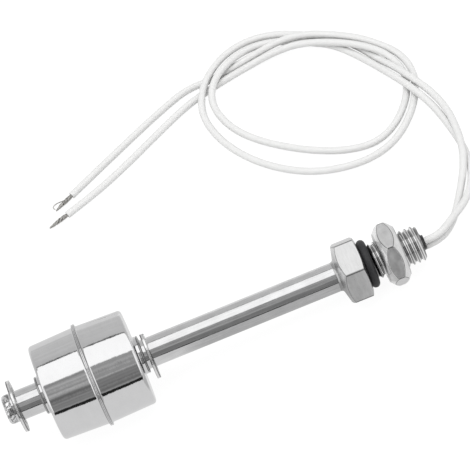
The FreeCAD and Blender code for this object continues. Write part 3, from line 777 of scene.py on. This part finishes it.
# ---- hexagons ----------------------------------------------------------------------------------
# Hexagonal pieces are made of half sections, one for each angle about the tube. A section is a
# closed line of (along, radius) in millimetres, cut off by the flats at that angle.
def hexagon_angles(turn):
    """Angles round a hexagon, close together at its corners, one of which is at the turn."""
    angles = []
    for corner in range(6):
        middle = turn + 60 * corner
        angles += [middle - step for step in reversed(CORNER_STEPS[1:])]
        angles += [middle + step for step in CORNER_STEPS] + [middle + 30]
    return [math.radians(angle) for angle in angles]


def hexagon_radius(angle, turn, flats, corner_r):
    """Distance from the tube's line to a hexagon with rounded corners, at an angle."""
    half_side = SIXTH_TURN / 2
    off = abs((angle - math.radians(turn) + half_side) % SIXTH_TURN - half_side)
    centre = (flats / 2 - corner_r) / math.cos(half_side)
    joint = math.atan2(corner_r * math.sin(half_side), centre + corner_r * math.cos(half_side))
    if off >= joint:
        return flats / 2 / math.cos(half_side - off)
    return centre * math.cos(off) + math.sqrt(corner_r ** 2 - (centre * math.sin(off)) ** 2)


def eased_corner(before, corner, after, radius, steps=5):
    """Points of a curve that rounds the corner between two straight runs."""
    before, corner, after = Vector(before), Vector(corner), Vector(after)
    back = before - corner
    ahead = after - corner
    half = (math.pi - back.angle(ahead)) / 2
    length = min(radius * math.tan(half), back.length * EASED_SHARE, ahead.length * EASED_SHARE)
    start = corner + back.normalized() * length
    end = corner + ahead.normalized() * length
    points = []
    for step in range(steps + 1):
        share = step / steps
        points.append(start * (1 - share) ** 2 + corner * 2 * share * (1 - share) + end * share ** 2)
    return [(point.x, point.y) for point in points]


def met(low, slope, radius):
    """Where a sloping line from a point reaches a radius: (along, radius)."""
    return low[0] + (radius - low[1]) * slope, radius


def turned_hexagon(name, turn, section, look, body, node):
    """A closed piece from half sections round a hexagon."""
    work = bmesh.new()
    rows = []
    for angle in hexagon_angles(turn):
        side = -math.sin(angle)
        up = math.cos(angle)
        rows.append([work.verts.new(on_stem(along, radius * side, radius * up))
                     for along, radius in section(angle)])
    count = len(rows[0])
    for one, two in zip(rows, rows[1:] + rows[:1]):
        for index in range(count):
            after = (index + 1) % count
            work.faces.new((one[index], one[after], two[after], two[index]))
    bmesh.ops.remove_doubles(work, verts=work.verts, dist=WELD)
    bmesh.ops.recalc_face_normals(work, faces=work.faces)
    mesh = mesh_from(work, name)
    smooth(mesh, 35)
    piece = new_piece(name, mesh, body, look)
    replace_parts(piece, node)


def nut_section(angle):
    """Half section of the lock nut: chamfered bore, end faces, bevels and the flat."""
    ease = settings().steel.nut_ease / MM
    side_r = hexagon_radius(angle, NUT_TURN, NUT_FLATS, NUT_CORNER_R)
    mouth_r = NUT_BORE_R + NUT_BORE_CHAMFER
    near = met((NUT_START, NUT_FACE_R), NUT_SLOPE, side_r)
    far = met((NUT_END, NUT_FACE_R), -NUT_SLOPE, side_r)
    middle = ((NUT_START + NUT_END) / 2, side_r)
    line = [(NUT_START + NUT_BORE_CHAMFER, NUT_BORE_R), (NUT_START, mouth_r)]
    line += eased_corner((NUT_START, mouth_r), (NUT_START, NUT_FACE_R), near, NUT_FACE_EASE, 3)
    line += eased_corner((NUT_START, NUT_FACE_R), near, middle, ease)
    line += [middle]
    line += eased_corner(middle, far, (NUT_END, NUT_FACE_R), ease)
    line += eased_corner(far, (NUT_END, NUT_FACE_R), (NUT_END, mouth_r), NUT_FACE_EASE, 3)
    return line + [(NUT_END, mouth_r), (NUT_END - NUT_BORE_CHAMFER, NUT_BORE_R)]


def head_section(angle):
    """Half section of the head: fillet at the tube, rear face, flat, bevel, sealing face, relief."""
    ease = settings().steel.head_ease / MM
    side_r = hexagon_radius(angle, HEAD_TURN, HEAD_FLATS, HEAD_CORNER_R)
    toe_r = TUBE_R + FILLET_RISE
    small = (-HEAD_LENGTH, TUBE_R)
    rim = met(small, HEAD_CONE, HEAD_RIM_R)
    near = met(rim, HEAD_RIM, side_r)
    far = met((0.0, HEAD_FACE_R), -HEAD_BEVEL, side_r)
    middle = ((near[0] + far[0]) / 2, side_r)
    line = eased_corner((-HEAD_LENGTH - FILLET_TOE, toe_r), (-HEAD_LENGTH, toe_r), rim, FILLET, 8)
    line += [met(small, HEAD_CONE, HEAD_CONE_MIDDLE_R)]
    line += eased_corner(small, rim, near, HEAD_REAR_EASE, 3)
    line += eased_corner(rim, near, middle, ease)
    line += [middle]
    line += eased_corner(middle, far, (0.0, HEAD_FACE_R), ease)
    line += eased_corner(far, (0.0, HEAD_FACE_R), (0.0, RELIEF_R), HEAD_SEAL_EASE, 3)
    line += [(0.0, RELIEF_R), (NECK_START, RELIEF_R), (NECK_START, NECK_BORE_R)]
    return line + [(SOCKET_END, NECK_BORE_R), (SOCKET_END, SOCKET_R), (line[0][0], toe_r)]


# ---- operators of the metal pieces -------------------------------------------------------------
class SWITCH_OT_stem(bpy.types.Operator):
    """Finishes the tube, its tip and the two clips"""
    bl_idname = "switch.stem"
    bl_label = "Stem"

    def execute(self, context):
        colour = settings().steel.stem_colour
        dress(metal("drawn_tube", colour, roughness=0.1, lines=(160, 2600, 2600), clouds=300.0, swing=1.3,
                    bump=0.12), "stem_tube")
        dress(metal("welded_tip", colour, roughness=0.08, lines=(800, 800, 800), clouds=600.0, swing=0.8,
                    bump=0.8, depth=0.3, shade=tip_painted_glints), "tip_plug")
        for node in ("lower_clip", "upper_clip"):
            dress(metal(node + "_steel", CLIP_STEEL, roughness=0.12, lines=(3000, 700, 700), clouds=700.0,
                        swing=1.8, bump=1.0, depth=0.2, shade=clip_painted_light(node)), node)
        return {"FINISHED"}


class SWITCH_OT_float(bpy.types.Operator):
    """Polishes the float and dresses what is inside it"""
    bl_idname = "switch.float"
    bl_label = "Float"

    def execute(self, context):
        steel = settings().steel
        dress(metal("polished_float", steel.float_colour, steel.float_roughness, lines=(420, 160, 160),
                    clouds=220.0, swing=0.42, bump=1.0, depth=0.05, shade=seam_shade),
              "float_lower_shell", "float_upper_shell")
        dress(metal("float_sleeve_steel", SLEEVE_STEEL, roughness=0.14, lines=(900, 200, 200), clouds=300.0,
                    swing=0.5, bump=0.15), "float_sleeve")
        dress(moulded("ferrite", FERRITE, roughness=0.55, scale=2500.0, swing=0.5, bump=0.3), "ring_magnet")
        dress(moulded("spacer_plastic", SPACER_PLASTIC, roughness=0.4, scale=600.0, swing=0.08),
              "magnet_spacer_lower", "magnet_spacer_upper")
        return {"FINISHED"}


class SWITCH_OT_head(bpy.types.Operator):
    """Makes the mounting head, the thread, the lock nut and the resin, and finishes the sealing ring"""
    bl_idname = "switch.head"
    bl_label = "Head"

    def execute(self, context):
        steel = settings().steel
        turned = metal("turned_head", steel.head_colour, steel.head_roughness, lines=(1400, 260, 260),
                       clouds=400.0, swing=1.5, bump=0.4, shade=head_painted_shade)
        turned_hexagon("head_hexagon", HEAD_TURN, head_section, turned, "stem",
                       "mounting_head")
        cut = metal("cut_thread", settings().thread.colour, roughness=0.12, lines=(1500, 300, 300),
                    clouds=260.0, swing=0.5, bump=0.15, shade=thread_painted_shade)
        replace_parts(threaded_neck(cut), "mounting_head")
        plated = metal("turned_nut", steel.nut_colour, roughness=0.14, lines=(700, 500, 500), clouds=500.0,
                       swing=1.2, bump=0.4, shade=nut_painted_shade)
        turned_hexagon("nut_hexagon", NUT_TURN, nut_section, plated, "nut", "lock_nut")
        rubber = moulded("ring_rubber", RING_RUBBER, roughness=0.5, scale=1600.0, swing=0.5, bump=0.4)
        dress(rubber, "seal_ring")
        potting_lump(moulded("black_resin", BLACK_RESIN, roughness=0.25, scale=900.0, swing=0.4, bump=0.5))
        return {"FINISHED"}


class SWITCH_OT_reed(bpy.types.Operator):
    """Dresses the reed switch and the leads that are sealed in the tube"""
    bl_idname = "switch.reed"
    bl_label = "Reed switch"

    def execute(self, context):
        glass, _, _ = material("reed_glass", REED_GLASS, roughness=0.03, Transmission_Weight=1.0, IOR=1.5)
        dress(glass, "reed_glass")
        dress(metal("reed_metal", REED_METAL, roughness=0.3, lines=(400, 2500, 2500), clouds=900.0,
                    swing=0.5, bump=0.1), "reed_blade_lower", "reed_blade_upper")
        sleeve = moulded("shrink_sleeve", SHRINK_SLEEVE, roughness=0.5, scale=900.0, swing=0.4, bump=0.3)
        dress(sleeve, "reed_sleeve")
        dress(metal("solder", SOLDER, roughness=0.35, lines=(1500, 1500, 1500), clouds=1200.0, swing=0.8,
                    bump=0.6), "solder_joint_lower", "solder_joint_upper")
        dress(white_insulation(), "inner_lead_a", "inner_lead_b")
        return {"FINISHED"}


# ---- stage -------------------------------------------------------------------------------------
AIM = (-43.4, 6.54, 24.3)     # along the tube, then right and up in the view, in millimetres
SENSOR = 36                   # its width in millimetres
FLOOR_REACH = 3.0             # the floor's edges from the middle, in metres
FLOOR_FRONT = -0.33
FLOOR_PAPER = (0.8, 0.8, 0.8)
FLOOR_SHADOW = (0.12, 0.12, 0.12)

# The floor's brightness: for the camera, and in metal at the float, in front of the tube, behind it
# and at the head.
FLOOR_SEEN = 0.93
FLOOR_AT_FLOAT = 0.74
FLOOR_BEFORE_TUBE = 0.52
FLOOR_BEHIND_TUBE = 0.86
FLOOR_AT_HEAD = 0.7

# Where one brightness passes into the next: from the float's seam and from the head's sealing face
# in millimetres along the tube, and from the tube's line backwards in metres.
PAST_FLOAT = (21, 31)
PAST_HEAD = (1, 3)
PAST_TUBE = (0.0, 0.02)

# The room's brightness by the angle about the tube's line, as a share of half a turn: 0 is the
# horizon in front, and 1 the horizon behind.
ROOM = [
    (0.0, 0.015), (0.018, 0.015), (0.026, 0.3), (0.06, 0.22), (0.19, 0.2), (0.215, 0.4), (0.386, 0.33),
    (0.398, 1.2), (0.648, 1.2),
    (0.654, 0.08), (0.662, 0.08), (0.668, 0.56), (1.0, 0.62),
]
FRONT_END = 0.38              # patches lie in front of this share, and faintly behind the next
REAR_START = 0.66
PATCH_SWING = 1.6
REAR_PATCHES = 0.22           # strength of the patches behind, against those in front
SIDE_WALL = 1.05              # brightness of the walls to the left and right of the front
SIDE_WALL_START = 0.34        # how far a direction points sideways where they start
SIDE_WALL_BLEND = 0.1
GROUND_BEFORE = 0.02          # brightness below the horizon, in front and behind
GROUND_BEHIND = 0.6


def camera_axes(own):
    """Right, up and backward of the camera: it looks at the tube's side from above, rolled."""
    across = -SIDE * math.cos(own.camera_rise) + UPWARD * math.sin(own.camera_rise)
    back = ALONG * own.camera_lean + across * math.sqrt(1 - own.camera_lean ** 2)
    along = (ALONG - back * ALONG.dot(back)).normalized()
    over = back.cross(along)
    cosine = math.cos(own.camera_roll)
    sine = math.sin(own.camera_roll)
    return along * cosine - over * sine, along * sine + over * cosine, back


def add_camera(own):
    """A camera with a long lens, aimed between the float and the wires."""
    right, over, back = camera_axes(own)
    aim = on_stem(AIM[0]) + (right * AIM[1] + over * AIM[2]) * MM
    camera = bpy.data.objects.new("Camera", bpy.data.cameras.new("Camera"))
    camera.data.sensor_width = SENSOR
    camera.data.lens = own.lens
    camera.data.clip_start = 0.01
    place = Matrix.Translation(aim + back * own.camera_distance)
    camera.matrix_world = place @ Matrix((right, over, back)).transposed().to_4x4()
    bpy.context.scene.collection.objects.link(camera)
    bpy.context.scene.camera = camera


def floor_material():
    """A white floor: the camera sees it white with a faint shadow, and metal sees it grey by place."""
    result = bpy.data.materials.new("white_floor")
    result.use_nodes = True
    tree = Tree(result.node_tree)
    ray = tree.add("ShaderNodeLightPath").outputs
    where = tree.split(tree.add("ShaderNodeTexCoord").outputs["Object"])
    past_float = fade(tree, where["X"], *[on_stem(SEAM_X + place).x for place in PAST_FLOAT])
    past_head = fade(tree, where["X"], *[on_stem(place).x for place in PAST_HEAD])
    at_tube = fade(tree, where["Y"], *PAST_TUBE, first=FLOOR_BEFORE_TUBE, last=FLOOR_BEHIND_TUBE)
    grey = tree.mix(past_float, FLOOR_AT_FLOAT, tree.mix(past_head, at_tube, FLOOR_AT_HEAD))
    mirrored = tree.add("ShaderNodeEmission", {"Color": PURE_WHITE, "Strength": grey})
    lit = tree.add("ShaderNodeBsdfDiffuse", {"Color": FLOOR_PAPER})
    glossy = tree.maths("MAXIMUM", ray["Is Glossy Ray"], ray["Is Transmission Ray"])
    others = tree.add("ShaderNodeMixShader", {0: glossy, 1: lit, 2: mirrored})
    white = tree.add("ShaderNodeEmission", {"Color": PURE_WHITE, "Strength": FLOOR_SEEN})
    shadow = tree.add("ShaderNodeBsdfDiffuse", {"Color": FLOOR_SHADOW})
    seen = tree.add("ShaderNodeAddShader", {0: white, 1: shadow})
    surface = tree.add("ShaderNodeMixShader", {0: ray["Is Camera Ray"], 1: others, 2: seen})
    tree.add("ShaderNodeOutputMaterial", {"Surface": surface})
    return result


def add_floor():
    """A floor that ends in front of the switch, so that its metal mirrors the dim room beyond."""
    work = bmesh.new()
    corners = [(-FLOOR_REACH, FLOOR_FRONT, 0), (FLOOR_REACH, FLOOR_FRONT, 0), (FLOOR_REACH, FLOOR_REACH, 0),
               (-FLOOR_REACH, FLOOR_REACH, 0)]
    work.faces.new([work.verts.new(corner) for corner in corners])
    mesh = mesh_from(work, "floor")
    mesh.materials.append(floor_material())
    floor = bpy.data.objects.new("floor", mesh)
    bpy.context.scene.collection.objects.link(floor)


def add_world():
    """A studio round the tube: white softbox overhead, grey behind, dim and patchy in front.

    White walls stand to the left and right of the dim front, and the camera sees plain white.
    """
    world = bpy.data.worlds.new("studio")
    bpy.context.scene.world = world
    world.use_nodes = True
    tree = Tree(world.node_tree)
    direction = tree.add("ShaderNodeTexCoord").outputs["Generated"]
    parts = tree.split(direction)
    angle = tree.maths("ARCTAN2", parts["Z"], tree.maths("MULTIPLY", parts["Y"], -1.0))
    share = tree.maths("DIVIDE", angle, math.pi)
    in_front = tree.maths("LESS_THAN", share, FRONT_END)
    in_rear = tree.maths("GREATER_THAN", share, REAR_START)
    patches = tree.add("ShaderNodeTexNoise", {"Vector": direction, "Scale": 11.0, "Detail": 5.0})
    swing = tree.maths("MULTIPLY", tree.maths("SUBTRACT", patches, 0.5), PATCH_SWING)
    strength = tree.maths("MULTIPLY_ADD", in_rear, REAR_PATCHES, in_front)
    patched = tree.maths("MULTIPLY_ADD", swing, strength, 1.0)
    room = tree.maths("MULTIPLY", tree.ramp(share, ROOM), patched)
    aside = tree.maths("SUBTRACT", tree.maths("ABSOLUTE", parts["X"]), SIDE_WALL_START)
    wall = tree.maths("DIVIDE", aside, SIDE_WALL_BLEND)
    wall.use_clamp = True
    walled = tree.mix(tree.maths("MULTIPLY", wall, in_front), room, SIDE_WALL)
    behind = tree.maths("GREATER_THAN", parts["Y"], 0.0)
    ground = tree.mix(behind, GROUND_BEFORE, GROUND_BEHIND)
    studio = tree.mix(tree.maths("LESS_THAN", parts["Z"], 0.0), walled, ground)
    camera_ray = tree.add("ShaderNodeLightPath").outputs["Is Camera Ray"]
    background = tree.add("ShaderNodeBackground", {"Color": PURE_WHITE,
                                                   "Strength": tree.mix(camera_ray, studio, 1.0)})
    tree.add("ShaderNodeOutputWorld", {"Surface": background})


def add_fill():
    """A soft lamp overhead that lights the wires and is not seen in the metal."""
    lamp = bpy.data.lights.new("soft_fill", "AREA")
    lamp.shape = "RECTANGLE"
    lamp.size = 1.2
    lamp.size_y = 0.9
    lamp.energy = 6.0
    fill = bpy.data.objects.new("soft_fill", lamp)
    fill.location = (0.0, -0.05, 1.1)
    fill.visible_glossy = False
    fill.visible_camera = False
    bpy.context.scene.collection.objects.link(fill)


class SWITCH_OT_stage(bpy.types.Operator):
    """Sets up the camera, the white floor, the studio and the lamp"""
    bl_idname = "switch.stage"
    bl_label = "Stage"

    def execute(self, context):
        add_camera(settings().stage)
        add_floor()
        add_world()
        add_fill()
        context.scene.view_settings.view_transform = "Standard"
        return {"FINISHED"}


# ---- add-on ------------------------------------------------------------------------------------
class SWITCH_PT_panel(bpy.types.Panel):
    """Sizes, colours and steps of the level switch"""
    bl_label = "Level switch"
    bl_idname = "SWITCH_PT_panel"
    bl_space_type = "VIEW_3D"
    bl_region_type = "UI"
    bl_category = "Level switch"

    def draw(self, context):
        own = context.scene.level_switch
        for group in (own.stage, own.wires, own.steel, own.thread):
            box = self.layout.box()
            for name in group.__annotations__:
                box.prop(group, name)
        for operator in OPERATORS:
            self.layout.operator(operator.bl_idname)


GROUPS = (WireSettings, SteelSettings, ThreadSettings, StageSettings, SwitchSettings)
OPERATORS = (SWITCH_OT_stage, SWITCH_OT_wires, SWITCH_OT_stem, SWITCH_OT_float, SWITCH_OT_head,
             SWITCH_OT_reed)
CLASSES = (*GROUPS, *OPERATORS, SWITCH_PT_panel)


def register():
    for item in CLASSES:
        bpy.utils.register_class(item)
    bpy.types.Scene.level_switch = PointerProperty(type=SwitchSettings)


def unregister():
    del bpy.types.Scene.level_switch
    for item in reversed(CLASSES):
        bpy.utils.unregister_class(item)


def main():
    register()
    bpy.ops.switch.stage()
    bpy.ops.switch.wires()
    bpy.ops.switch.stem()
    bpy.ops.switch.float()
    bpy.ops.switch.head()
    bpy.ops.switch.reed()


if __name__ == "__main__":
    main()
